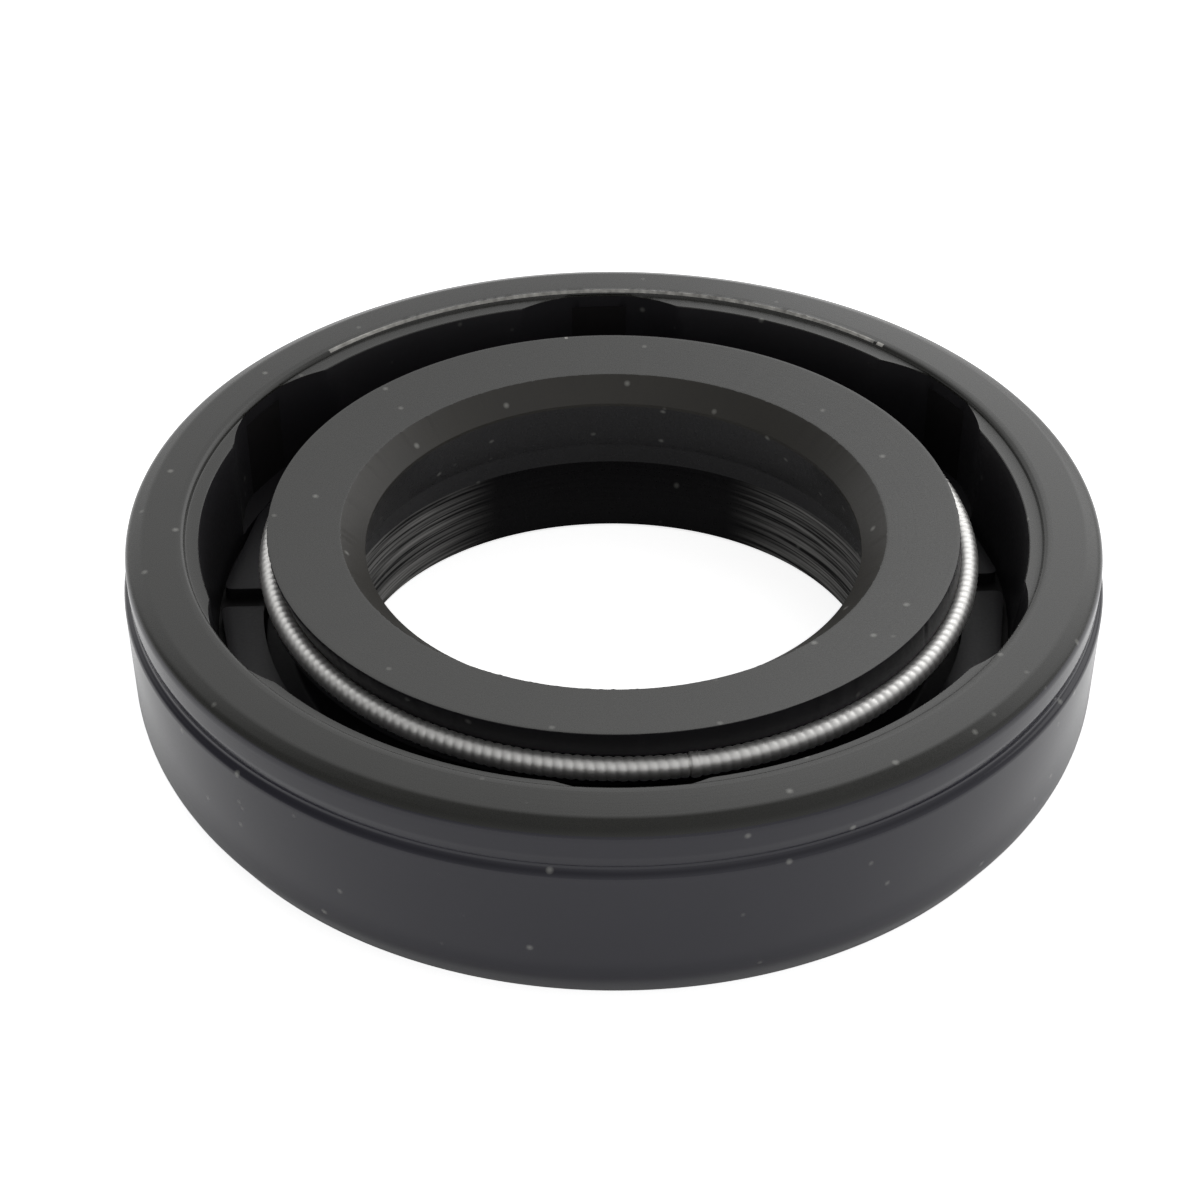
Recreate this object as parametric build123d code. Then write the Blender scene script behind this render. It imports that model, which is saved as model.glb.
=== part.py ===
from build123d import *
import os
from math import asin, cos, degrees, pi, radians, sin

# Radial shaft seal, rubber covered, with a main lip, a dust lip and a garter spring, for a 25 mm
# shaft in a 47 mm housing bore, 10 mm wide. Millimetres. The origin is the middle of the back
# face, which lies at z = 0, and +Z points to the spring side. Radii are measured from the shaft's
# centre line and heights from the back face. Every size below is set by itself; what seats in or
# lines up with another piece is worked out from the same values.

# ---- The seal's place -------------------------------------------------------------------------
shaft_d = 25.0              # shaft that the main lip runs on
radial_section = 11.0       # from the shaft to the housing bore, which is then 47 mm
seal_width = 10.0           # back face to front rim

# ---- Main lip, measured outwards from its sealing edge ----------------------------------------
lip_bite = 0.5              # how far the free edge stands inside the shaft's surface
edge_band = 0.16            # height of the narrow band that touches the shaft
edge_depth = 2.05           # from the front rim down to the middle of that band
trim_cone_width = 1.14      # knife-trimmed cone on the oil side
head_depth = 0.53           # head's outer corner, below the front rim
head_dish = 0.33            # the head's face falls this much towards the shaft
head_width = 4.6            # sealing edge to the head's outer wall
head_draft = 0.12           # the outer wall leans in by this much above the groove
waist_inset = 1.29          # sealing edge to the crease where the air-side cone ends
waist_depth = 0.2           # crease, below the floor
root_inset = 1.52           # sealing edge to the foot of the short band under the crease
root_depth = 1.4            # foot of that band, below the floor

# ---- Dust lip ---------------------------------------------------------------------------------
dust_lip_gap = 0.15         # the dust lip runs just clear of the shaft
dust_lip_tip = 0.46         # thickness at the tip
dust_tip_rise = 0.14        # the tip's running edge, above the back face
recess_depth = 2.4          # relief behind the dust lip, up to where its rounded top starts
recess_top_width = 0.7      # width where the rounded top starts
dust_lip_root = 0.72        # thickness of the dust lip at the same height
recess_flare = 0.85         # how far the outer side of the relief leans out down to the back face

# ---- Flex web and floor -----------------------------------------------------------------------
floor_height = 4.8          # top of the floor pads
floor_width = 2.2           # inner wall's foot to the pads' inner edge
trench_width = 1.25         # sunk ring inside the pads, under the spring
trench_depth = 1.3
web_thickness = 1.65        # air-side cone to the bottom of the neck
neck_height = 0.95          # bottom of the neck, above the floor
neck_opening = 0.55         # half the height of the neck's round
neck_round_depth = 0.45     # how deep that round is
groove_lip_drop = 0.24      # thickness of the lip under the spring groove

# ---- Garter spring ----------------------------------------------------------------------------
coil_d = 1.1                # outside diameter of the coil
wire_d = 0.4
coil_pitch = 0.445          # wound nearly close
spring_depth = 2.28         # ring's middle plane, below the front rim
spring_stand_out = 0.2      # coil's centre line, outside the head's outer wall
groove_clearance = 0.025    # between the coil and its groove
groove_lip_reach = 0.15     # lower lip of the groove, outside the coil's centre line
joint_gap = 0.12            # where the wire's two ends meet
joint_azimuth = 280.0
nib_turns = 5               # turns that taper down beside the joint
nib_taper = 0.05            # how much smaller the last of them is, in radius
coil_sides = 6              # flats round the coil's section

# ---- Steel case and its rubber cover, measured inwards from the housing bore -------------------
case_thickness = 1.2
case_bend = 0.5             # inside radius of the bend
outer_cover = 1.85          # rubber outside the case
inner_cover_front = 0.76    # rubber inside the case, at the ledge
inner_cover_foot = 1.1      # the same, at the floor
front_cover = 1.0           # rubber in front of the case's rim
flange_inset = 0.3          # rubber over the flange's edge, at the floor's inner edge

# ---- Outside form -----------------------------------------------------------------------------
back_chamfer_width = 1.06
back_chamfer_height = 1.83
land_depth = 2.45           # press-fit land's upper edge, below the front rim
ring_groove_depth = 0.45
ring_groove_height = 0.7
front_band_inset = 0.25     # band in front of the ring groove, inside the land
shoulder_depth = 0.6        # where that band starts to round over
shoulder_height = 0.37
shoulder_width = 0.25
rim_chamfer_width = 0.6
flash_width = 0.22          # trimmed flash left along the rim's inner edge
flash_height = 0.06
rim_step = 0.38             # step from the rim down to the ledge
ledge_fall = 0.12           # the ledge falls inwards by this much

# ---- Pockets, pads and slots ------------------------------------------------------------------
pocket_count = 6            # each pocket bares the case's wall, each slot its flange
pocket_azimuth = 32.0
pocket_radius = 7.0
pocket_overrun = 0.1        # the pocket's round would pass the case's wall by this much
pad_height = 0.6            # pads stand this high on the case's flange
pad_flat_start = 8.5        # each pad's flats start this far from its pocket, in degrees
pad_corner_inset = 0.1      # and end this far inside the wall's foot, at the slots
slot_width = 1.4
slot_corner = 0.45

# ---- Worked out from the sizes above ----------------------------------------------------------
shaft_r = shaft_d / 2
outer_r = shaft_r + radial_section
edge_r = shaft_r - lip_bite
edge_z = seal_width - edge_depth
head_r = edge_r + head_width
head_z = seal_width - head_depth
trim_r = edge_r + trim_cone_width

case_outer_r = outer_r - outer_cover
case_inner_r = case_outer_r - case_thickness
case_front_z = seal_width - front_cover
ledge_r = case_inner_r - inner_cover_front
wall_foot_r = case_inner_r - inner_cover_foot
floor_inner_r = wall_foot_r - floor_width
flange_top_z = floor_height - pad_height
flange_back_z = flange_top_z - case_thickness
flange_inner_r = floor_inner_r + flange_inset

coil_r = coil_d / 2
spring_r = head_r + spring_stand_out
spring_z = seal_width - spring_depth
groove_r = coil_r + groove_clearance


def ring_of(section):
    """Solid of revolution about the shaft's centre line."""
    return revolve(make_face(Plane.XZ * section), Axis.Z)


def rubber_outside():
    """Back chamfer, press-fit land, ring groove, front band, rounded shoulder and rim."""
    land_z = seal_width - land_depth
    band_r = outer_r - front_band_inset
    band_foot_z = land_z + ring_groove_height
    groove_bottom = (outer_r - ring_groove_depth, land_z + ring_groove_height / 2)
    shoulder = (band_r, seal_width - shoulder_depth)
    chamfer_foot = (band_r - shoulder_width, seal_width - shoulder_depth + shoulder_height)
    rim_r = chamfer_foot[0] - rim_chamfer_width
    flash_r = case_inner_r + flash_width
    flash_top = ((case_inner_r + flash_r) / 2, seal_width + flash_height)
    land = Polyline(
        (outer_r - back_chamfer_width, 0),
        (outer_r, back_chamfer_height),
        (outer_r, land_z),
    )
    ring_groove = ThreePointArc((outer_r, land_z), groove_bottom, (band_r, band_foot_z))
    band = Line((band_r, band_foot_z), shoulder)
    round_over = TangentArc(shoulder, chamfer_foot, tangent=(0, 1))
    rim = Polyline(
        chamfer_foot,
        (rim_r, seal_width),
        (flash_r, seal_width),
        flash_top,
        (case_inner_r, seal_width),
        (case_inner_r, seal_width - rim_step),
    )
    return land + ring_groove + band + round_over + rim


def rubber_inside():
    """Ledge, inner wall, floor, neck, spring groove, head and both lips, back to the start."""
    ledge_z = seal_width - rim_step
    groove_top_r = head_r - head_draft
    top_rise = (groove_r**2 - (spring_r - groove_top_r) ** 2) ** 0.5
    lip_drop = (groove_r**2 - groove_lip_reach**2) ** 0.5
    groove_top = (groove_top_r, spring_z + top_rise)
    groove_deep = (spring_r - groove_r, spring_z)
    groove_lip = (spring_r + groove_lip_reach, spring_z - lip_drop)
    under_lip = (groove_lip[0], groove_lip[1] - groove_lip_drop)

    neck_z = floor_height + neck_height
    cone_fall = (edge_z - neck_z) / (edge_z - (floor_height - waist_depth))
    neck_r = edge_r + waist_inset * cone_fall + web_thickness
    neck_top = (neck_r + neck_round_depth, neck_z + neck_opening)
    neck_foot = (neck_r + neck_round_depth, neck_z - neck_opening)

    root = (edge_r + root_inset, floor_height - root_depth)
    tip_r = shaft_r + dust_lip_gap
    lip_slope = (root[0] - tip_r) / (root[1] - dust_tip_rise)
    recess_in_r = tip_r + lip_slope * (recess_depth - dust_tip_rise) + dust_lip_root
    recess_out_r = recess_in_r + recess_top_width
    recess_crown = ((recess_in_r + recess_out_r) / 2, recess_depth + recess_top_width / 2)

    trench_z = floor_height - trench_depth
    wall = Polyline(
        (case_inner_r, ledge_z),
        (ledge_r, ledge_z - ledge_fall),
        (wall_foot_r, floor_height),
        (floor_inner_r, floor_height),
        (floor_inner_r, trench_z),
        (floor_inner_r - trench_width, trench_z),
        neck_foot,
    )
    neck = ThreePointArc(neck_foot, (neck_r, neck_z), neck_top)
    head_underside = Polyline(neck_top, under_lip, groove_lip)
    spring_groove = ThreePointArc(groove_lip, groove_deep, groove_top)
    lips = Polyline(
        groove_top,
        (head_r, head_z),
        (trim_r, head_z - head_dish),
        (edge_r, edge_z + edge_band / 2),
        (edge_r, edge_z - edge_band / 2),
        (edge_r + waist_inset, floor_height - waist_depth),
        root,
        (tip_r, dust_tip_rise),
        (tip_r + dust_lip_tip, dust_tip_rise - lip_slope * dust_lip_tip),
        (recess_in_r, recess_depth),
    )
    recess_top = ThreePointArc((recess_in_r, recess_depth), recess_crown, (recess_out_r, recess_depth))
    recess_side = Line((recess_out_r, recess_depth), (recess_out_r + recess_flare, 0))
    back_face = Line((recess_out_r + recess_flare, 0), (outer_r - back_chamfer_width, 0))
    return wall + neck + head_underside + spring_groove + lips + recess_top + recess_side + back_face


def around(count, first, shape):
    """Copies of a shape at equal steps round the shaft's centre line."""
    return [Rot(0, 0, first + 360 / count * i) * shape for i in range(count)]


def polar(radius, azimuth):
    """Point at a radius from the shaft's centre line and an azimuth in degrees."""
    return (radius * cos(radians(azimuth)), radius * sin(radians(azimuth)))


def one_pad():
    """Top view of one pad, its pocket towards +X: slot to slot, with a flat at each end."""
    half_slot = slot_width / 2
    corner_r = wall_foot_r - pad_corner_inset
    corner_azimuth = 180 / pocket_count - degrees(asin(half_slot / corner_r))
    inner_azimuth = 180 / pocket_count - degrees(asin(half_slot / floor_inner_r))
    edges = ThreePointArc(*(polar(wall_foot_r, pad_flat_start * side) for side in (-1, 0, 1)))
    edges += ThreePointArc(*(polar(floor_inner_r, inner_azimuth * side) for side in (-1, 0, 1)))
    for side in (-1, 1):
        edges += Polyline(
            polar(wall_foot_r, pad_flat_start * side),
            polar(corner_r, corner_azimuth * side),
            polar(floor_inner_r, inner_azimuth * side),
        )
    pad = make_face(edges)
    corners = pad.vertices().sort_by(Axis.Y)
    return fillet([corners[0], corners[-1]], slot_corner)


def one_pocket():
    """Top view of one pocket in the inner wall, towards +X, down to the case's bare wall."""
    centre_r = case_inner_r + pocket_overrun - pocket_radius
    pocket = Pos(centre_r, 0) * Circle(pocket_radius) & Circle(case_inner_r)
    return pocket - Circle(wall_foot_r - pocket_overrun)


def steel_case():
    """Pressed ring of L section: a cylinder, and a flange turned inwards behind the floor."""
    outer_bend = case_bend + case_thickness
    arc_step = (1 - cos(pi / 4))
    back_bend = (case_outer_r - outer_bend * arc_step, flange_back_z + outer_bend * arc_step)
    front_bend = (case_inner_r - case_bend * arc_step, flange_top_z + case_bend * arc_step)
    outer_foot = (case_outer_r, flange_back_z + outer_bend)
    flange_back = (case_outer_r - outer_bend, flange_back_z)
    flange_top = (case_inner_r - case_bend, flange_top_z)
    inner_foot = (case_inner_r, flange_top_z + case_bend)
    section = Polyline(inner_foot, (case_inner_r, case_front_z), (case_outer_r, case_front_z), outer_foot)
    section += ThreePointArc(outer_foot, back_bend, flange_back)
    section += Polyline(flange_back, (flange_inner_r, flange_back_z), (flange_inner_r, flange_top_z), flange_top)
    section += ThreePointArc(flange_top, front_bend, inner_foot)
    return ring_of(section)


def rubber_body(case):
    """The moulding, round the case, with its pockets, pads and slots."""
    body = ring_of(rubber_outside() + rubber_inside())
    floor = Circle(wall_foot_r) - Circle(floor_inner_r)
    bare_floor = floor - around(pocket_count, pocket_azimuth, one_pad())
    body -= Pos(0, 0, flange_top_z) * extrude(bare_floor, pad_height)
    for pocket in around(pocket_count, pocket_azimuth, one_pocket()):
        body -= Pos(0, 0, floor_height) * extrude(pocket, seal_width)
    return body - case


def coil_ring(azimuth, radius):
    """Corners of the coil's flat-sided section, square to the ring at one azimuth."""
    turn = radians(azimuth)
    corners = []
    for side in range(coil_sides):
        out, up = polar(radius, 360 / coil_sides * side)
        reach = spring_r + out
        corners.append(Vector(reach * cos(turn), reach * sin(turn), spring_z + up))
    return corners


def garter_spring():
    """Close-wound coil bent into a ring: a crest for each turn of wire and a valley after it.

    The two ends face each other across a small gap, where a nib of the wire joins them.
    """
    half_gap = degrees(joint_gap / 2 / spring_r)
    start, end = joint_azimuth + half_gap, joint_azimuth + 360 - half_gap
    turns = round(spring_r * radians(end - start) / coil_pitch)
    rings = []
    for step in range(2 * turns + 1):
        valley_cut = wire_d / 2 if step % 2 == 0 else 0
        taper = nib_taper * max(0, 1 - (turns - step / 2) / nib_turns)
        azimuth = start + (end - start) * step / (2 * turns)
        rings.append(coil_ring(azimuth, coil_r - valley_cut - taper))
    rings += [coil_ring(azimuth, coil_r - wire_d) for azimuth in (end, start)]
    facets = []
    for here, there in zip(rings, rings[1:] + rings[:1]):
        for side in range(coil_sides):
            a, b = here[side - 1], here[side]
            c, d = there[side], there[side - 1]
            facets += [Face(Wire.make_polygon([a, b, c])), Face(Wire.make_polygon([a, c, d]))]
    return Solid(Shell(facets))


case = steel_case()
nodes = {
    "rubber_body": rubber_body(case),
    "steel_case": case,
    "garter_spring": garter_spring(),
}
os.makedirs("parts", exist_ok=True)
for name, solid in nodes.items():
    export_step(solid, f"parts/{name}.step")
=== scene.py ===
import math

import bmesh
import bpy
from mathutils import Matrix, Vector, noise


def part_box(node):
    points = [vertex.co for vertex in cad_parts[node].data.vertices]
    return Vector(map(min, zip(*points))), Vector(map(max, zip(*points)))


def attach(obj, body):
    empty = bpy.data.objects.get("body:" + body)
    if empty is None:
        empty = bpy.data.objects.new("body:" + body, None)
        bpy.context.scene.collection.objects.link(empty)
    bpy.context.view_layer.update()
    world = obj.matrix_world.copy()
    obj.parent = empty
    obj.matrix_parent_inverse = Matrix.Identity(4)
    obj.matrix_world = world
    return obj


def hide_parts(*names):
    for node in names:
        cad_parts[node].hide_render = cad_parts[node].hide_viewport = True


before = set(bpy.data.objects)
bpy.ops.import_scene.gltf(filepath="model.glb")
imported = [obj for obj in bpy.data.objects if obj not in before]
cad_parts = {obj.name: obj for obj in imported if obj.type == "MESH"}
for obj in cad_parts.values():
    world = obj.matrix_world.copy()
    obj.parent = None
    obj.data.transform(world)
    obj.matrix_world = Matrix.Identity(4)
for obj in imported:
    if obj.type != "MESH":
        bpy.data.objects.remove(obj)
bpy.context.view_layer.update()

# Radial shaft seal: it lies on its back face at z = 0, and +Z runs along the shaft to the spring
# side. Sizes are in millimetres and angles in degrees, unless a comment says otherwise.
MM = 0.001
UP = Vector((0, 0, 1))

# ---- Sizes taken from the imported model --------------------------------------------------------
body_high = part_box("rubber_body")[1] / MM
case_low, case_high = (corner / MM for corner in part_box("steel_case"))
spring_low, spring_high = (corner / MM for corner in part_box("garter_spring"))

STRIP = 1.2                 # steel strip that the case is pressed from
COIL_R = 0.55               # outside of the spring's coil
FLASH_HEIGHT = 0.06         # how far the torn flash stands above the rim

OUTER_R = body_high.x
RIM_Z = body_high.z - FLASH_HEIGHT
FLASH_Z = RIM_Z - 0.05      # trimmed flash, where it isn't torn
CASE_R = case_high.x - STRIP    # inner side of the case's wall
CASE_FRONT = case_high.z
FLANGE_TOP = case_low.z + STRIP
SPRING_R = spring_high.x - COIL_R
SPRING_Z = (spring_low.z + spring_high.z) / 2

# ---- Sizes of the moulding that the boxes don't give ------------------------------------------
BACK_R = 15.52              # inner edge of the back face
BACK_CHAMFER = (1.06, 1.83)     # width and height of the lead-in at the back
LAND_Z = RIM_Z - 2.40       # top of the land that grips the housing
RING_GROOVE_R = OUTER_R - 0.36
RING_GROOVE_Z = RIM_Z - 2.20
COLLAR_R = OUTER_R - 0.25   # outside above the ring groove
COLLAR_Z = RIM_Z - 1.5      # where the groove's slope reaches it
FRONT_CHAMFER = (0.84, 0.32)
RIM_IN_R = CASE_R + 0.42    # inner edge of the rim's flat top

WALL_R = CASE_R - 1.1       # cavity wall's foot
LEDGE_R = CASE_R - 0.64     # inner edge of the ledge under the rim
LEDGE_Z = RIM_Z - 0.30
LEDGE_LEAN = 0.07           # how far the wall under it leans towards the axis
LEDGE_SHIFT = 0.2           # the ledge is this much narrower in front, and this much wider behind
FLOOR_Z = FLANGE_TOP + 0.6  # top of the pads
FLOOR_IN_R = WALL_R - 2.2   # inner side of the pads
FLANGE_R = FLOOR_IN_R + 0.3     # edge of the case's flange
TRENCH_Z = FLOOR_Z - 1.3    # sunk ring inside the pads
TRENCH_IN_R = FLOOR_IN_R - 1.25

EDGE_R = 12.0               # free sealing edge
EDGE_Z = 7.95
EDGE_BAND = 0.16            # height of the edge's blunt band
TRIM_R = EDGE_R + 1.14      # knife cut's outer edge, where the head's face starts
HEAD_R = SPRING_R - 0.2     # head's outer wall
HEAD_Z = RIM_Z - 0.53
TRIM_Z = HEAD_Z - 0.33
TRIM_ROUND, HEAD_ROUND = 0.02, 0.08     # roundings of those two edges
CONE_END = (EDGE_R + 1.29, FLOOR_Z - 0.2)       # back end of the main lip's air side
DUST_START = (EDGE_R + 1.52, FLOOR_Z - 1.4)     # front end of the dust lip
GROOVE_R = COIL_R + 0.025   # spring's groove, with a little play
GROOVE_FROM, GROOVE_TO = 285.1, 123.8   # its arc in the section, in degrees from straight outwards
NECK_R, NECK_Z = 14.5, 5.75     # thinnest place of the lip, under the head
DUST_R, DUST_Z = 12.65, 0.14    # dust lip's tip
DUST_TIP = (0.5, 0.3)       # width and height of the tip that gives
DUST_OVAL = 0.4             # it is soft, so it stands this far out of round, each way
RELIEF_R, RELIEF_Z = 14.67, 2.4     # deepest place of the relief behind the dust lip
RELIEF_WIDTH = 0.7

POCKETS = 6
POCKET_AZIMUTH = 32.0
POCKET_ROUND = 7.0          # radius of each pocket's round side
POCKET_CENTRE = CASE_R + 0.1 - POCKET_ROUND
BARED_R = CASE_R + 0.03     # below the case's front the pockets go through to its steel
SLOT_WIDTH = 1.4            # between neighbouring pads
PAD_CORNER_R = WALL_R - 0.1
PAD_HALF_BACK = 8.5         # degrees each way that a pad runs along the cavity wall
PAD_ROUND = 0.45            # its two outer corners
PAD_EDGE = 0.08             # its softened upper edge

SPRING_SHIFT = 0.25         # the spring and its groove sit this far off centre, towards +X
TURNS = 237
RIDGE_R = 0.50              # each turn's round back
JOINT_AZIMUTH = 280.0
JOINT_GAP = 0.04            # half the notch where the coil's ends meet
JOINT_DEPTH = 0.12
JOINT_RISE = 0.04           # the turn after the notch stands proud by this

STEPS_ROUND = 630           # facets round the moulding
STEPS_PER_TURN = 8          # rings of points for each turn of the spring
STEPS_ROUND_COIL = 20
CLOSE = 0.01                # places nearer than this count as the same one
WELD = 0.002                # points nearer than this are joined
CREASE, PAD_CREASE = 32, 40     # edges sharper than this aren't shaded smooth

NICKS = 80                  # nicks in a cut or torn edge, for each radian
NICK_GAIN = 1.8             # takes the noise up to 1, with some nicks cut off flat
NICK_DEPTH = 0.05
TORN_FROM, TORN_TO = 44, 138    # azimuths between which the trimmed flash is torn and pale
TORN_FADE = 15              # over which the tear sets in at each end
TEAR_GAIN = 6               # no patch is left whole once torn() passes 2 / TEAR_GAIN
BURR_FROM, BURR_TO = 92, 101    # azimuths of the burrs left on the head's edge
BURR_REACH = 0.075          # from the edge's corner
BURR_LEVEL = 0.35           # noise above which a burr is left
FLASH_SEED, TEAR_SEED, BURR_SEED = 3.0, 5.0, 7.0


# ---- Small helpers ----------------------------------------------------------------------------
def linear(hex_colour):
    """sRGB hex colour as linear RGBA."""
    channels = [int(hex_colour[i:i + 2], 16) / 255 for i in (1, 3, 5)]
    return [c / 12.92 if c <= 0.04045 else ((c + 0.055) / 1.055) ** 2.4 for c in channels] + [1]


def add_node(tree, kind, inputs=None, **settings):
    """Adds a node; an input given a socket is linked to it, and one given a node to its first output."""
    made = tree.nodes.new(kind)
    for name, value in settings.items():
        setattr(made, name, value)
    for name, value in (inputs or {}).items():
        if isinstance(value, bpy.types.Node):
            value = value.outputs[0]
        if isinstance(value, bpy.types.NodeSocket):
            tree.links.new(value, made.inputs[name])
        else:
            made.inputs[name].default_value = value
    return made


def new_material(name):
    """Material without nodes, and its tree."""
    material = bpy.data.materials.new(name)
    material.use_nodes = True
    material.node_tree.nodes.clear()
    return material, material.node_tree


def spread(start, end, steps):
    """Evenly spaced values from start to end, both included."""
    return [start + (end - start) * step / steps for step in range(steps + 1)]


def polar(radius, azimuth, z):
    """Point in metres from a radius and height in millimetres and an azimuth in degrees."""
    turn = math.radians(azimuth)
    return Vector((radius * math.cos(turn), radius * math.sin(turn), z)) * MM


def rides_on_root(piece):
    """Fixes a piece to the seal's one body."""
    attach(piece, "root")


def make_object(name, shape, materials):
    """Object from a bmesh, with its materials in order."""
    mesh = bpy.data.meshes.new(name)
    shape.to_mesh(mesh)
    shape.free()
    for material in materials:
        mesh.materials.append(material)
    piece = bpy.data.objects.new(name, mesh)
    bpy.context.scene.collection.objects.link(piece)
    return piece


# ---- Materials --------------------------------------------------------------------------------
SPECK_CELL = 0.9            # dust: one speck at most in each cell this wide
SPECK_EDGE, SPECK_CORE = 0.22, 0.06     # a speck's radii where it starts and where it is whole, in cells
SPECK_SHARE = 0.14          # share of the cells that hold one
GLINT_STREAK_WIDTH = 0.16          # painted glint streaks: the real ring scratches are too fine to show, so their glints are drawn this wide
GLINTS_FROM, GLINTS_FULL = 6.0, 10.5    # distance from the middle, to either side, at which the painted glints start and are whole
GLINT_FAINT, GLINT_STRONG = 0.40, 0.66  # noise at which a painted glint streak starts, and where it is whole
GRAIN_LOW, GRAIN_HIGH = 0.3, 0.7        # noise at the grain's bottoms and tops
SMOOTHER, ROUGHER = 0.04, 0.05          # roughness that they take off and add
STEEL_BLOTCH = 1.2           # width of a blotch in the steel's near-black colour
WIRE_BLOOM = 0.4            # width of a cloud in the wire's faint bloom


def ring_coordinates(tree, along, across):
    """Coordinates that run slowly round the axis and fast across it, for marks turned on a ring."""
    place = add_node(tree, "ShaderNodeTexCoord").outputs["Object"]
    apart = add_node(tree, "ShaderNodeSeparateXYZ", {0: place}).outputs
    flat = add_node(tree, "ShaderNodeCombineXYZ", {0: apart[0], 1: apart[1]})
    radius = add_node(tree, "ShaderNodeVectorMath", {0: flat}, operation="LENGTH").outputs["Value"]
    around = add_node(tree, "ShaderNodeVectorMath", {0: flat}, operation="NORMALIZE")
    slow = add_node(tree, "ShaderNodeVectorMath", {0: around, "Scale": along}, operation="SCALE")
    both = add_node(tree, "ShaderNodeMath", {0: radius, 1: apart[2]}, operation="ADD")
    fast = add_node(tree, "ShaderNodeMath", {0: both, 1: across}, operation="MULTIPLY")
    lift = add_node(tree, "ShaderNodeCombineXYZ", {2: fast})
    return add_node(tree, "ShaderNodeVectorMath", {0: slow, 1: lift}, operation="ADD")


def dusted(tree, tone, level):
    """Pale dust specks. Real ones are too fine to show, so these are drawn a few times their size."""
    place = add_node(tree, "ShaderNodeTexCoord").outputs["Object"]
    cells = add_node(tree, "ShaderNodeTexVoronoi", {"Vector": place, "Scale": 1 / (SPECK_CELL * MM)})
    speck = add_node(
        tree, "ShaderNodeMapRange",
        {0: cells.outputs["Distance"], 1: SPECK_EDGE, 2: SPECK_CORE, 3: 0.0, 4: level},
    )
    chance = add_node(tree, "ShaderNodeSeparateColor", {0: cells.outputs["Color"]})
    kept = add_node(tree, "ShaderNodeMath", {0: chance, 1: 1 - SPECK_SHARE}, operation="GREATER_THAN")
    dust = add_node(tree, "ShaderNodeMath", {0: speck, 1: kept}, operation="MULTIPLY")
    dusty = add_node(tree, "ShaderNodeMix", {0: dust, 6: tone, 7: linear("#b8b8b2")}, data_type="RGBA")
    return dusty.outputs[2]


def painted_glint_streaks(tree, tone):
    """Painted glints: pale streaks in the colour along the lip's two sides, where its real rings catch the
    light; the front and the back get none.
    """
    rings = ring_coordinates(tree, along=1.6, across=1 / (GLINT_STREAK_WIDTH * MM))
    streaks = add_node(tree, "ShaderNodeTexNoise", {"Vector": rings, "Scale": 1.0, "Detail": 4.0})
    strong = add_node(tree, "ShaderNodeMapRange", {0: streaks, 1: GLINT_FAINT, 2: GLINT_STRONG})
    place = add_node(tree, "ShaderNodeTexCoord").outputs["Object"]
    across = add_node(tree, "ShaderNodeSeparateXYZ", {0: place})
    aside = add_node(tree, "ShaderNodeMath", {0: across}, operation="ABSOLUTE")
    side = add_node(
        tree, "ShaderNodeMapRange", {0: aside, 1: GLINTS_FROM * MM, 2: GLINTS_FULL * MM},
        interpolation_type="SMOOTHSTEP",
    )
    share = add_node(tree, "ShaderNodeMath", {0: strong, 1: side}, operation="MULTIPLY")
    # Painted highlight: the pale colour of the glint streaks.
    worn = add_node(tree, "ShaderNodeMix", {0: share, 6: tone, 7: linear("#9a9997")}, data_type="RGBA")
    return worn.outputs[2]


def rubber(
    name, base, worn, roughness, specular=0.5, cloud_mm=2.5, grain_mm=0.10, grain_lift=0.002,
    ring_mm=0.12, ring_lift=0.002, speck_level=0.36, painted_glints=False,
):
    """Black nitrile rubber: nearly black all through, so gloss and fine relief do the work.

    Worn patches cloud it, cloud_mm across. Its grain and the rings that turning left in the mould
    stand up by their lifts, in millimetres. Both are finer than 0.05 mm on the real one, too fine to
    show, so they are drawn 0.08 to 0.25 mm wide.
    """
    material, tree = new_material(name)
    place = add_node(tree, "ShaderNodeTexCoord").outputs["Object"]
    cloud = add_node(
        tree, "ShaderNodeTexNoise", {"Vector": place, "Scale": 1 / (cloud_mm * MM), "Detail": 4.0}
    )
    grain = add_node(
        tree, "ShaderNodeTexNoise", {"Vector": place, "Scale": 1 / (grain_mm * MM), "Detail": 3.0}
    )
    rings = ring_coordinates(tree, along=3.0, across=1 / (ring_mm * MM))
    marks = add_node(tree, "ShaderNodeTexNoise", {"Vector": rings, "Scale": 1.0, "Detail": 3.0})
    tone = add_node(tree, "ShaderNodeMix", {0: cloud, 6: linear(base), 7: linear(worn)}, data_type="RGBA")
    colour = dusted(tree, tone.outputs[2], speck_level)
    # Painted glints: pale streaks in the colour at the lip's two sides.
    if painted_glints:
        colour = painted_glint_streaks(tree, colour)
    gloss = add_node(
        tree, "ShaderNodeMapRange",
        {0: grain, 1: GRAIN_LOW, 2: GRAIN_HIGH, 3: roughness - SMOOTHER, 4: roughness + ROUGHER},
    )
    turned = add_node(
        tree, "ShaderNodeBump", {"Height": marks, "Strength": 1.0, "Distance": ring_lift * MM}
    )
    relief = add_node(
        tree, "ShaderNodeBump",
        {"Height": grain, "Normal": turned, "Strength": 1.0, "Distance": grain_lift * MM},
    )
    shader = add_node(
        tree, "ShaderNodeBsdfPrincipled",
        {
            "Base Color": colour, "Roughness": gloss, "Normal": relief,
            "IOR": 1.5, "Specular IOR Level": specular,
        },
    )
    add_node(tree, "ShaderNodeOutputMaterial", {"Surface": shader})
    return material


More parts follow.
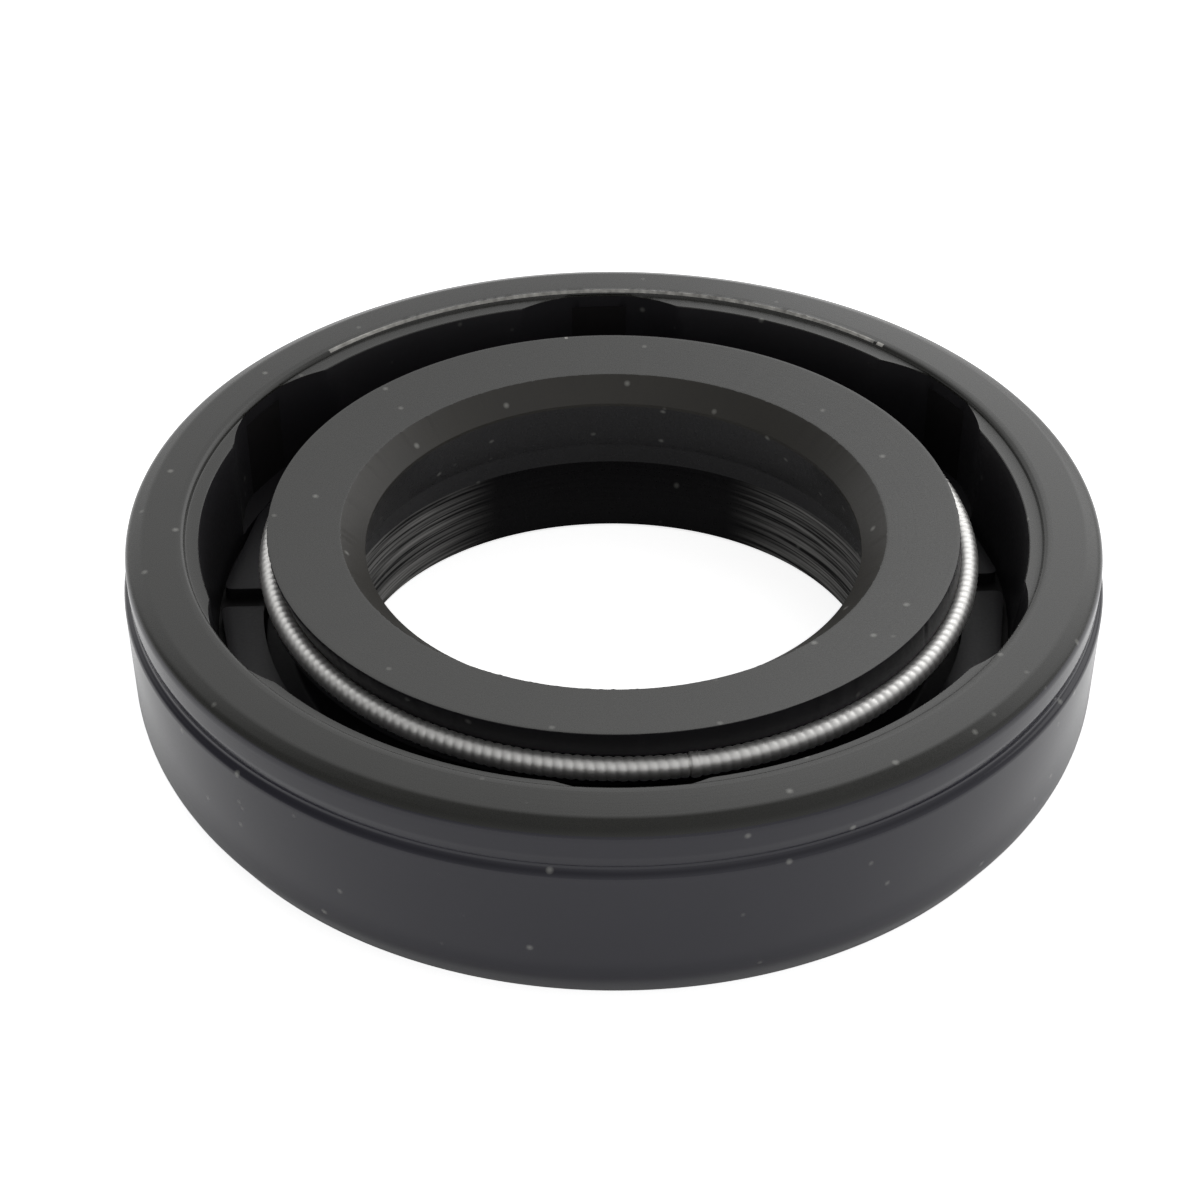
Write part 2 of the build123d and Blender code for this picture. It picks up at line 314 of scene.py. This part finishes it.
def strip_steel():
    """Cold rolled strip, coloured nearly black in faint blotches: dull, and hardly told from the rubber."""
    material, tree = new_material("bonded_strip_steel")
    place = add_node(tree, "ShaderNodeTexCoord").outputs["Object"]
    blotch = add_node(
        tree, "ShaderNodeTexNoise", {"Vector": place, "Scale": 1 / (STEEL_BLOTCH * MM), "Detail": 5.0}
    )
    tone = add_node(
        tree, "ShaderNodeMix", {0: blotch, 6: linear("#0d0c0d"), 7: linear("#141213")}, data_type="RGBA"
    )
    shader = add_node(
        tree, "ShaderNodeBsdfPrincipled",
        {"Base Color": tone.outputs[2], "Roughness": 0.55, "Specular IOR Level": 0.2},
    )
    add_node(tree, "ShaderNodeOutputMaterial", {"Surface": shader})
    return material


def spring_wire():
    """Drawn spring wire: bright bare steel, satin from the die, so each turn catches the light."""
    material, tree = new_material("drawn_spring_wire")
    place = add_node(tree, "ShaderNodeTexCoord").outputs["Object"]
    bloom = add_node(
        tree, "ShaderNodeTexNoise", {"Vector": place, "Scale": 1 / (WIRE_BLOOM * MM), "Detail": 3.0}
    )
    tone = add_node(
        tree, "ShaderNodeMix", {0: bloom, 6: linear("#eeedea"), 7: linear("#fbfaf8")}, data_type="RGBA"
    )
    shader = add_node(
        tree, "ShaderNodeBsdfPrincipled",
        {"Base Color": tone.outputs[2], "Metallic": 1.0, "Roughness": 0.50},
    )
    add_node(tree, "ShaderNodeOutputMaterial", {"Surface": shader})
    return material


# Outside, moulded against polished steel: glossy, so the light tent lies on it in soft bands.
MOULDED = rubber("moulded_nitrile_rubber", "#141320", "#1a1926", roughness=0.15)
# Rim and head face, wiped in handling: an even satin that shows their edges.
RIM = rubber("wiped_nitrile_rubber", "#181815", "#20201c", roughness=0.27, grain_lift=0.001)
# Cone that a knife has cut on the lip: dull, and a little browner and paler than the moulded skin.
TRIMMED = rubber(
    "knife_cut_nitrile_rubber", "#23211d", "#2c2923", roughness=0.42,
    grain_mm=0.08, grain_lift=0.004, ring_lift=0.004,
)
# Air side of the lip, with rings from the turned mould: fine lines of light that run round the bore.
LIP = rubber("lip_nitrile_rubber", "#131215", "#1a191c", roughness=0.30, ring_mm=0.2, ring_lift=0.010)
# Dust lip: the same rings on the deepest black, with painted glints as pale streaks at its two sides.
DUST = rubber(
    "glint_painted_nitrile_rubber", "#0a090b", "#0f0e10", roughness=0.30, specular=0.15,
    ring_mm=0.25, ring_lift=0.010, speck_level=0.15, painted_glints=True,
)
# Torn flash: stretched rubber goes rough and pale, in patches between black ones.
TORN = rubber(
    "torn_nitrile_flash", "#0c0c0c", "#dcdad4", roughness=0.75, cloud_mm=0.4,
    grain_mm=0.12, grain_lift=0.010, ring_lift=0.0, speck_level=0.0,
)
# Cavity and web, moulded against blasted steel: matt, with hardly a highlight.
MATT = rubber(
    "matt_nitrile_rubber", "#151417", "#1d1c1f", roughness=0.50, specular=0.25,
    grain_mm=0.15, grain_lift=0.003, speck_level=0.15,
)
# Floor pads: as matt, but they face straight up, and show more sheen and dust.
FLOORING = rubber(
    "dull_nitrile_rubber", "#17161a", "#201f22", roughness=0.50, specular=0.45,
    grain_mm=0.15, grain_lift=0.003, speck_level=0.3,
)
STEEL = strip_steel()
WIRE = spring_wire()

# ---- Moulding ---------------------------------------------------------------------------------
MOULDED_FACE, TRIMMED_FACE, LIP_FACE, RIM_FACE, TORN_FACE, DUST_FACE, MATT_FACE = range(7)
FINISHES = [MOULDED, TRIMMED, LIP, RIM, TORN, DUST, MATT]


def wall_outline():
    """Corners (radius, height, rounding, finish of what follows) of the back, the outside and the rim."""
    chamfer_width, chamfer_height = BACK_CHAMFER
    front_width, front_height = FRONT_CHAMFER
    return [
        (BACK_R, 0.0, 0.10, MOULDED_FACE),
        (OUTER_R - chamfer_width, 0.0, 0.12, MOULDED_FACE),
        (OUTER_R, chamfer_height, 3.5, MOULDED_FACE),
        (OUTER_R, LAND_Z, 0.5, MOULDED_FACE),
        (RING_GROOVE_R, RING_GROOVE_Z, 0.32, MOULDED_FACE),
        (COLLAR_R, COLLAR_Z, 1.2, MOULDED_FACE),
        (COLLAR_R, RIM_Z - front_height, 0.6, RIM_FACE),
        (COLLAR_R - front_width, RIM_Z, 0.6, RIM_FACE),
        (RIM_IN_R, RIM_Z, 0.10, RIM_FACE),
        (CASE_R + 0.18, RIM_Z - 0.02, 0.0, TORN_FACE),
        (CASE_R + 0.08, FLASH_Z, 0.0, TORN_FACE),
        (CASE_R, RIM_Z - 0.12, 0.0, RIM_FACE),
        (CASE_R - 0.03, RIM_Z - 0.20, 0.0, RIM_FACE),
    ]


def cavity_wall():
    """Points (radius, height) of the ledge and the cavity wall, each with a pocket's reach there."""
    return [
        (CASE_R - 0.05, LEDGE_Z + 0.03, CASE_R),
        (CASE_R - 0.10, LEDGE_Z + 0.01, CASE_R),
        (LEDGE_R, LEDGE_Z, CASE_R),
        (LEDGE_R - 0.04, LEDGE_Z - 0.04, CASE_R),
        (LEDGE_R - 0.06, LEDGE_Z - 0.16, CASE_R),
        (LEDGE_R - LEDGE_LEAN, CASE_FRONT + 0.02, CASE_R),
        (LEDGE_R - LEDGE_LEAN, CASE_FRONT - 0.02, BARED_R),
        (WALL_R + 0.02, FLOOR_Z + 0.1, BARED_R),
        (WALL_R, FLOOR_Z, BARED_R),
    ]


def lip_outline():
    """Corners of the web, the head, both lips and the relief behind the dust lip."""
    groove = []
    for turn in spread(GROOVE_FROM, GROOVE_TO, 12):
        out, up = math.cos(math.radians(turn)), math.sin(math.radians(turn))
        groove.append((SPRING_R + GROOVE_R * out, SPRING_Z + GROOVE_R * up, 0.0, MATT_FACE))
    return [
        (FLANGE_R, FLANGE_TOP - 0.08, 0.0, MATT_FACE),
        (FLANGE_R, FLANGE_TOP, 0.0, MATT_FACE),
        (FLOOR_IN_R, FLANGE_TOP, 0.05, MATT_FACE),
        (FLOOR_IN_R, TRENCH_Z, 0.2, MATT_FACE),
        (TRENCH_IN_R, TRENCH_Z, 0.25, MATT_FACE),
        (NECK_R + 0.45, NECK_Z - 0.55, 0.15, MATT_FACE),
        (NECK_R, NECK_Z - 0.25, 0.25, MATT_FACE),
        (NECK_R, NECK_Z + 0.25, 0.25, MATT_FACE),
        (NECK_R + 0.45, NECK_Z + 0.55, 0.15, MATT_FACE),
        (SPRING_R + 0.15, SPRING_Z - 0.795, 0.06, MATT_FACE),
        *groove,
        (HEAD_R, HEAD_Z - 0.12, 0.0, MATT_FACE),
        (HEAD_R, HEAD_Z, HEAD_ROUND, RIM_FACE),
        (HEAD_R - 0.2, HEAD_Z - 0.02, 0.0, RIM_FACE),
        (TRIM_R + 0.12, TRIM_Z + 0.01, 0.0, RIM_FACE),
        (TRIM_R, TRIM_Z, TRIM_ROUND, TRIMMED_FACE),
        (TRIM_R - 0.1, TRIM_Z - 0.097, 0.0, TRIMMED_FACE),
        (EDGE_R, EDGE_Z + EDGE_BAND / 2, 0.01, TRIMMED_FACE),
        (EDGE_R, EDGE_Z - EDGE_BAND / 2, 0.01, LIP_FACE),
        (*CONE_END, 0.20, LIP_FACE),
        (*DUST_START, 0.12, DUST_FACE),
        (DUST_R, DUST_Z, 0.03, DUST_FACE),
        (DUST_R + 0.46, 0.018, 0.06, MOULDED_FACE),
        (RELIEF_R - RELIEF_WIDTH, RELIEF_Z, 0.25, MOULDED_FACE),
        (RELIEF_R, RELIEF_Z, 0.25, MOULDED_FACE),
    ]


def rounded(corners):
    """The outline with each corner that has a rounding turned into a short curve."""
    points = []
    for i, (radius, z, rounding, finish) in enumerate(corners):
        here = Vector((radius, z))
        if rounding == 0:
            points.append((here, finish))
            continue
        back = Vector(corners[i - 1][:2]) - here
        on = Vector(corners[(i + 1) % len(corners)][:2]) - here
        half = back.angle(on) / 2
        reach = min(rounding / math.tan(half), 0.45 * back.length, 0.45 * on.length)
        start, end = here + back.normalized() * reach, here + on.normalized() * reach
        for t in spread(0, 1, 6 if rounding > 0.3 else 3):
            point = start * (1 - t) ** 2 + here * 2 * t * (1 - t) + end * t**2
            points.append((point, finish if t >= 0.5 else corners[i - 1][3]))
    return points


def pocket_radius(azimuth, limit):
    """Radius of the nearest pocket's round at an azimuth, up to a limit, or 0 outside it."""
    pitch = 360 / POCKETS
    off = math.radians((azimuth - POCKET_AZIMUTH + pitch / 2) % pitch - pitch / 2)
    inside = POCKET_ROUND**2 - (POCKET_CENTRE * math.sin(off)) ** 2
    if inside <= 0:
        return 0.0
    return min(limit, POCKET_CENTRE * math.cos(off) + math.sqrt(inside))


def rough_edge(azimuth, seed):
    """Even noise between -1 and 1 round the ring, for edges that a knife or a tear has left uneven."""
    turn = math.radians(azimuth)
    level = noise.noise(Vector((NICKS * math.cos(turn), NICKS * math.sin(turn), seed)))
    return max(-1, min(1, NICK_GAIN * level))


def torn(azimuth):
    """How far the flash is torn: 0 where it is cut clean, 1 in the middle of the torn stretch."""
    return max(0, min(1, (azimuth - TORN_FROM) / TORN_FADE, (TORN_TO - azimuth) / TORN_FADE))


def skin_place(point, azimuth, reach):
    """Place of an outline point at an azimuth, with what isn't even all round; reach is a pocket's."""
    radius, z = point
    turn = math.radians(azimuth)
    if reach:
        if abs(point.x - LEDGE_R) < LEDGE_LEAN + CLOSE:
            radius -= LEDGE_SHIFT * math.sin(turn)
        radius = max(radius, pocket_radius(azimuth, reach))
    if point.x < DUST_R + DUST_TIP[0] and point.y < DUST_TIP[1]:
        radius += DUST_OVAL * math.cos(2 * turn)
    if math.hypot(point.x - SPRING_R, point.y - SPRING_Z) < GROOVE_R + CLOSE:
        radius += SPRING_SHIFT * math.cos(turn)
    if abs(point.y - FLASH_Z) < 0.1 * CLOSE:
        ragged = RIM_Z + FLASH_HEIGHT * (0.5 + 0.5 * rough_edge(azimuth, FLASH_SEED))
        z += torn(azimuth) * (ragged - z)
    if abs(point.x - TRIM_R) < TRIM_ROUND + CLOSE or abs(point.x - HEAD_R) < CLOSE:
        radius -= NICK_DEPTH * max(0, rough_edge(azimuth, point.x)) ** 2
    return polar(radius, azimuth, z)


def skin_finish(point, azimuth, finish):
    """Finish of the face that starts at an outline point: what is torn or burred there looks pale."""
    if finish == TORN_FACE and rough_edge(azimuth, TEAR_SEED) >= TEAR_GAIN * torn(azimuth) - 1:
        finish = RIM_FACE
    on_head_edge = math.hypot(point.x - HEAD_R, point.y - HEAD_Z) < BURR_REACH
    if on_head_edge and BURR_FROM < azimuth < BURR_TO and rough_edge(azimuth, BURR_SEED) > BURR_LEVEL:
        finish = TORN_FACE
    return finish


def moulding():
    """One closed skin, turned about the axis, with the pockets pressed out of the cavity wall."""
    rows = [(point, finish, 0) for point, finish in rounded(wall_outline())]
    for radius, z, reach in cavity_wall():
        rows.append((Vector((radius, z)), RIM_FACE if z > LEDGE_Z - CLOSE else MATT_FACE, reach))
    for z in (FLOOR_Z, FLANGE_TOP - 0.08):
        rows.append((Vector((WALL_R, z)), MATT_FACE, 0))
    rows += [(point, finish, 0) for point, finish in rounded(lip_outline())]

    azimuths = spread(0, 360, STEPS_ROUND)[:-1]
    skin = bmesh.new()
    loops = [
        [skin.verts.new(skin_place(point, azimuth, reach)) for azimuth in azimuths]
        for point, finish, reach in rows
    ]
    for index, (point, finish, reach) in enumerate(rows):
        here, on = loops[index], loops[(index + 1) % len(loops)]
        for step, azimuth in enumerate(azimuths):
            after = (step + 1) % STEPS_ROUND
            face = skin.faces.new((here[step], here[after], on[after], on[step]))
            face.material_index = skin_finish(point, azimuth, finish)
            face.smooth = True
    bmesh.ops.remove_doubles(skin, verts=skin.verts, dist=WELD * MM)
    bmesh.ops.recalc_face_normals(skin, faces=skin.faces)
    piece = make_object("nitrile_moulding", skin, FINISHES)
    piece.data.set_sharp_from_angle(angle=math.radians(CREASE))
    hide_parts("rubber_body")
    rides_on_root(piece)


def pad(number):
    """Floor pad between two slots, standing on the bare flange."""
    half_pitch = 180 / POCKETS
    middle = POCKET_AZIMUTH + 2 * half_pitch * number
    corner = half_pitch - math.degrees(math.asin(SLOT_WIDTH / 2 / PAD_CORNER_R))
    inner = half_pitch - math.degrees(math.asin(SLOT_WIDTH / 2 / FLOOR_IN_R))
    outline = [
        *((WALL_R, azimuth, 0.0) for azimuth in spread(-PAD_HALF_BACK, PAD_HALF_BACK, 12)),
        (PAD_CORNER_R, corner, PAD_ROUND),
        *((FLOOR_IN_R, azimuth, 0.0) for azimuth in spread(inner, -inner, 24)),
        (PAD_CORNER_R, -corner, PAD_ROUND),
    ]
    corners = [(*(polar(r, a, 0).xy / MM), rounding, MATT_FACE) for r, a, rounding in outline]
    edge = [point for point, finish in rounded(corners)]
    centre = Vector((sum(p.x for p in edge) / len(edge), sum(p.y for p in edge) / len(edge)))
    levels = [
        (FLANGE_TOP - 0.05, 0.0),
        (FLOOR_Z - PAD_EDGE, 0.0),
        (FLOOR_Z - PAD_EDGE / 4, PAD_EDGE / 4),
        (FLOOR_Z, PAD_EDGE),
    ]
    shape = bmesh.new()
    rows = []
    for z, inset in levels:
        inwards = [p + (centre - p).normalized() * inset for p in edge]
        rows.append([shape.verts.new(Vector((*p, z)) * MM) for p in inwards])
    for low, high in zip(rows, rows[1:]):
        for i in range(len(edge)):
            after = (i + 1) % len(edge)
            shape.faces.new((low[i], low[after], high[after], high[i])).smooth = True
    shape.faces.new(rows[-1])
    shape.faces.new(list(reversed(rows[0])))
    bmesh.ops.recalc_face_normals(shape, faces=shape.faces)
    piece = make_object(f"floor_pad_{number + 1}", shape, [FLOORING])
    piece.data.transform(Matrix.Rotation(math.radians(middle), 4, "Z"))
    piece.data.set_sharp_from_angle(angle=math.radians(PAD_CREASE))
    rides_on_root(piece)


# ---- Garter spring ----------------------------------------------------------------------------
def coil_radius(turns, past_joint):
    """Coil's outside radius at a number of turns and a length past the joint: a round ridge a turn."""
    pitch = 2 * math.pi * SPRING_R / TURNS
    off_crest = (turns % 1 - 0.5) * pitch
    radius = COIL_R - RIDGE_R + math.sqrt(RIDGE_R**2 - off_crest**2)
    if abs(past_joint) < JOINT_GAP:
        return radius - JOINT_DEPTH
    if 0 < past_joint < JOINT_GAP + pitch:
        return radius + JOINT_RISE
    return radius


def garter_spring():
    """Close-wound coil, made as a round screw thread bent into a ring, as its turns touch."""
    along = TURNS * STEPS_PER_TURN
    middle = Vector((SPRING_SHIFT, 0, SPRING_Z))
    shape = bmesh.new()
    rings = []
    for i in range(along):
        from_joint = 360 * i / along
        turn = math.radians(JOINT_AZIMUTH + from_joint)
        out = Vector((math.cos(turn), math.sin(turn), 0))
        past_joint = math.radians((from_joint + 180) % 360 - 180) * SPRING_R
        ring = []
        for k in range(STEPS_ROUND_COIL):
            phase = 2 * math.pi * k / STEPS_ROUND_COIL
            radius = coil_radius(TURNS * i / along + k / STEPS_ROUND_COIL, past_joint)
            arm = out * math.cos(phase) + UP * math.sin(phase)
            ring.append(shape.verts.new((middle + out * SPRING_R + arm * radius) * MM))
        rings.append(ring)
    for i, here in enumerate(rings):
        on = rings[(i + 1) % along]
        for k in range(STEPS_ROUND_COIL):
            after = (k + 1) % STEPS_ROUND_COIL
            shape.faces.new((here[k], here[after], on[after], on[k])).smooth = True
    bmesh.ops.recalc_face_normals(shape, faces=shape.faces)
    piece = make_object("garter_spring_wire", shape, [WIRE])
    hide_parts("garter_spring")
    rides_on_root(piece)


# ---- Stage, light and camera ------------------------------------------------------------------
FLOOR_GLOW = 0.8            # as the camera sees it
PAINTED_SHADOW_SHARE = 0.05           # of the mirrored glow left under the seal and in its bore, as a painted shadow
PAINTED_SHADOW_FADE = 2.5             # width of the ring outside the seal over which the painted shadow fades and the glow comes up
MIRRORED_GLOW = 0.45        # what rubber and metal show of the floor
FLOOR_HALF = 3              # metres
FLOOR_DROP = 0.00002        # metres, so that the floor and the back face don't flicker

PAPER_LEVEL = 0.8
PAPER_TO, CLOTH_FROM = 0.08, 0.25       # sine of the height at which paper ends and cloth starts
DIM_LEVEL, BRIGHT_LEVEL = 0.27, 0.75    # cloth above and left, and towards the camera and right
BRIGHT_WAY = (0.6, -0.6, -0.4)
BRIGHT_FROM, BRIGHT_TO = -0.7, 0.5      # between these shares of that way the cloth brightens
LIT_LEVEL = 1.1
LIT_AZIMUTH, LIT_ELEVATION = 95, 22     # middle of the lit wall
LIT_FROM, LIT_FULL = 0.52, 0.82         # cosines off its middle where it starts and is whole

LAMP_WATTS = 0.12
LAMP_SIZE = (0.28, 0.16)    # metres, as are its place and what it is aimed at
LAMP_PLACE = Vector((0.13, 0.15, 0.13))
LAMP_AIM = Vector((0, 0, 0.005))

IMAGE_SIDE = 1200           # pixels
FOCAL_PIXELS = 2385.75
SENSOR_WIDTH = 36
CAMERA_PLACE = Vector((-0.65, -94.30, 75.16))
CAMERA_TILT = 36.98         # down from level
CLIP_START = 0.01           # metres


def pale_stage():
    """Plain pale floor that shows white, and keeps the object's soft shadow; what reflections see of its
    glow has a painted shadow under the seal and in its bore.
    """
    material, tree = new_material("studio_paper")
    path = add_node(tree, "ShaderNodeLightPath").outputs
    place = add_node(tree, "ShaderNodeTexCoord").outputs["Object"]
    away = add_node(tree, "ShaderNodeVectorMath", {0: place}, operation="LENGTH").outputs["Value"]
    # Painted shadow: reflections see only a small share of the glow under the seal and in its bore.
    clear = add_node(
        tree, "ShaderNodeMapRange",
        {0: away, 1: OUTER_R * MM, 2: (OUTER_R + PAINTED_SHADOW_FADE) * MM, 3: PAINTED_SHADOW_SHARE},
    )
    mirrored = add_node(
        tree, "ShaderNodeMath", {0: path["Is Glossy Ray"], 1: path["Is Transmission Ray"]},
        operation="MAXIMUM",
    )
    outside = add_node(tree, "ShaderNodeMath", {0: mirrored, 1: clear}, operation="MULTIPLY")
    faint = add_node(tree, "ShaderNodeMath", {0: outside, 1: MIRRORED_GLOW}, operation="MULTIPLY")
    seen = add_node(tree, "ShaderNodeMath", {0: path["Is Camera Ray"], 1: FLOOR_GLOW}, operation="MULTIPLY")
    glow = add_node(tree, "ShaderNodeMath", {0: seen, 1: faint}, operation="MAXIMUM")
    shader = add_node(
        tree, "ShaderNodeBsdfPrincipled",
        {
            "Base Color": linear("#f2f2f2"), "Roughness": 0.9,
            "Emission Color": (1, 1, 1, 1), "Emission Strength": glow,
        },
    )
    add_node(tree, "ShaderNodeOutputMaterial", {"Surface": shader})
    sheet = bmesh.new()
    bmesh.ops.create_grid(sheet, x_segments=1, y_segments=1, size=FLOOR_HALF)
    floor = make_object("studio_floor", sheet, [material])
    floor.location.z = -FLOOR_DROP


def studio_world():
    """Light tent: paper up to the horizon, a lit wall behind, and dimmer cloth above and in front."""
    world = bpy.data.worlds.new("light_tent")
    world.use_nodes = True
    tree = world.node_tree
    tree.nodes.clear()
    way = add_node(tree, "ShaderNodeTexCoord").outputs["Generated"]
    turn, rise = math.radians(LIT_AZIMUTH), math.radians(LIT_ELEVATION)
    lit_way = (math.cos(turn) * math.cos(rise), math.sin(turn) * math.cos(rise), math.sin(rise))
    towards, side, height = (
        add_node(tree, "ShaderNodeVectorMath", {0: way, 1: goal}, operation="DOT_PRODUCT").outputs["Value"]
        for goal in (lit_way, BRIGHT_WAY, UP)
    )
    cloth = add_node(
        tree, "ShaderNodeMapRange",
        {0: side, 1: BRIGHT_FROM, 2: BRIGHT_TO, 3: DIM_LEVEL, 4: BRIGHT_LEVEL},
    )
    lit = add_node(
        tree, "ShaderNodeMapRange",
        {0: towards, 1: LIT_FROM, 2: LIT_FULL, 3: cloth, 4: LIT_LEVEL},
        interpolation_type="SMOOTHSTEP",
    )
    level = add_node(
        tree, "ShaderNodeMapRange", {0: height, 1: PAPER_TO, 2: CLOTH_FROM, 3: PAPER_LEVEL, 4: lit}
    )
    tent = add_node(tree, "ShaderNodeBackground", {"Color": (1, 1, 1, 1), "Strength": level})
    add_node(tree, "ShaderNodeOutputWorld", {"Surface": tent})
    bpy.context.scene.world = world


def side_lamp():
    """Wide soft lamp behind the seal, on its right."""
    lamp = bpy.data.lights.new("side_lamp", "AREA")
    lamp.shape = "RECTANGLE"
    lamp.size, lamp.size_y = LAMP_SIZE
    lamp.energy = LAMP_WATTS
    holder = bpy.data.objects.new("side_lamp", lamp)
    holder.location = LAMP_PLACE
    holder.rotation_euler = (LAMP_AIM - LAMP_PLACE).to_track_quat("-Z", "Y").to_euler()
    bpy.context.scene.collection.objects.link(holder)


def studio_camera():
    """Camera in front of the seal, looking down on it, level from side to side."""
    camera = bpy.data.cameras.new("studio_camera")
    camera.sensor_width = SENSOR_WIDTH
    camera.lens = FOCAL_PIXELS / IMAGE_SIDE * SENSOR_WIDTH
    camera.clip_start = CLIP_START
    holder = bpy.data.objects.new("studio_camera", camera)
    holder.location = CAMERA_PLACE * MM
    holder.rotation_euler = (math.radians(90 - CAMERA_TILT), 0, 0)
    bpy.context.scene.collection.objects.link(holder)
    bpy.context.scene.camera = holder


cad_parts["steel_case"].data.materials.clear()
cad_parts["steel_case"].data.materials.append(STEEL)
moulding()
for number in range(POCKETS):
    pad(number)
garter_spring()

pale_stage()
studio_world()
side_lamp()
studio_camera()
bpy.context.scene.view_settings.view_transform = "Standard"
